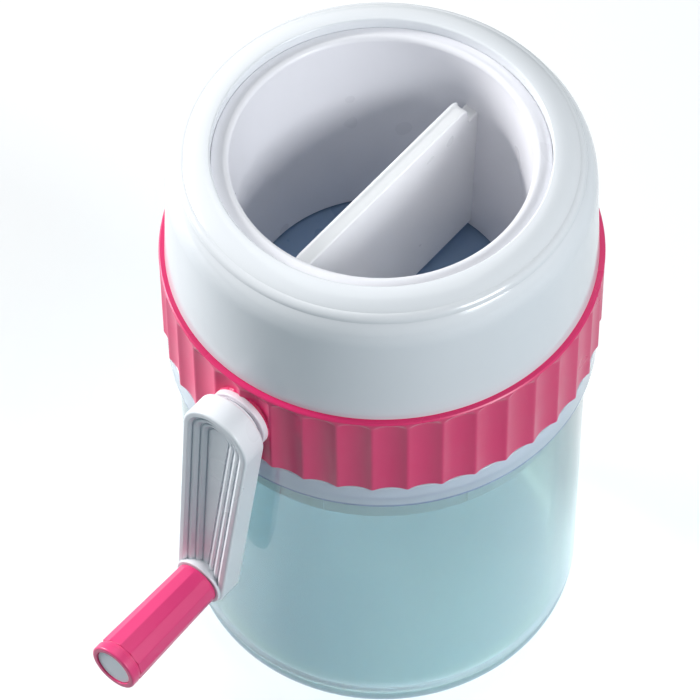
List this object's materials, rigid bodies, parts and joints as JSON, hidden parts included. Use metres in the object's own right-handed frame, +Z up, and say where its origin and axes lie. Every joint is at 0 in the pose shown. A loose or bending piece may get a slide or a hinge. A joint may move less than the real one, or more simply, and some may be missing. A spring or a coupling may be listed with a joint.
{
  "type": "hand crank ice crusher",
  "caption": "Hand crank ice crusher: clear cup under a lift-off head with a turning hopper, a vane, a floor blade and a geared crank with a faceted knob.",
  "frame": {"origin": "centre of the cup's underside, on the surface it stands on", "axes": "+Z up the centre line, -Y towards the crank, +X to the right of a viewer who faces the crank"},
  "size_m": [0.126, 0.1767, 0.1959],
  "materials": {
    "cup": "clear, faintly frosted, with a cool tint",
    "ring": "satin pink plastic",
    "hood": "glossy white plastic",
    "chassis": "milky translucent plastic",
    "slide_ring": "dark low-friction plastic",
    "blade": "ground stainless steel",
    "screws": "stainless steel",
    "bush": "white bearing plastic",
    "drum": "white plastic",
    "gears": "greased natural gear plastic",
    "vane": "white plastic",
    "shaft": "turned steel",
    "washer": "stamped steel",
    "arm": "glossy white plastic",
    "knob_washer": "pale plastic",
    "knob": "satin pink plastic",
    "knob_cap": "white plastic"
  },
  "bodies": {
    "cup": {"cup": "cup"},
    "head": {"chassis": "chassis", "ring_housing": "ring", "hood": "hood", "slide_ring": "slide_ring", "blade": "blade", "blade_screws": "screws", "crank_bush": "bush"},
    "rotor": {"rotor_drum": "drum", "crown_gear": "gears", "gear_screws": "screws", "vane": "vane"},
    "crank": {"drive_shaft": "shaft", "pinion": "gears", "pinion_washer": "washer", "pinion_screw": "screws", "crank_arm": "arm", "knob_washer": "knob_washer", "knob_spindle": "shaft"},
    "knob": {"knob_grip": "knob", "knob_cap": "knob_cap"}
  },
  "joints": [
    {"name": "head_lift", "type": "slide", "parent": "cup", "child": "head", "axis": [0, 0, 1], "range_m": [0, 0.08]},
    {"name": "rotor_spin", "type": "hinge", "parent": "head", "child": "rotor", "pos_m": [0, 0, 0.139], "axis": [0, 0, 1], "continuous": true},
    {"name": "crank_turn", "type": "hinge", "parent": "head", "child": "crank", "pos_m": [0, -0.05, 0.139], "axis": [0, -1, 0], "continuous": true},
    {"name": "knob_spin", "type": "hinge", "parent": "crank", "child": "knob", "pos_m": [-0.00851, -0.095, 0.06317], "axis": [0, -1, 0], "continuous": true}
  ],
  "couplings": [
    {"joint": "rotor_spin", "follows": "crank_turn", "ratio": 0.16667}
  ]
}
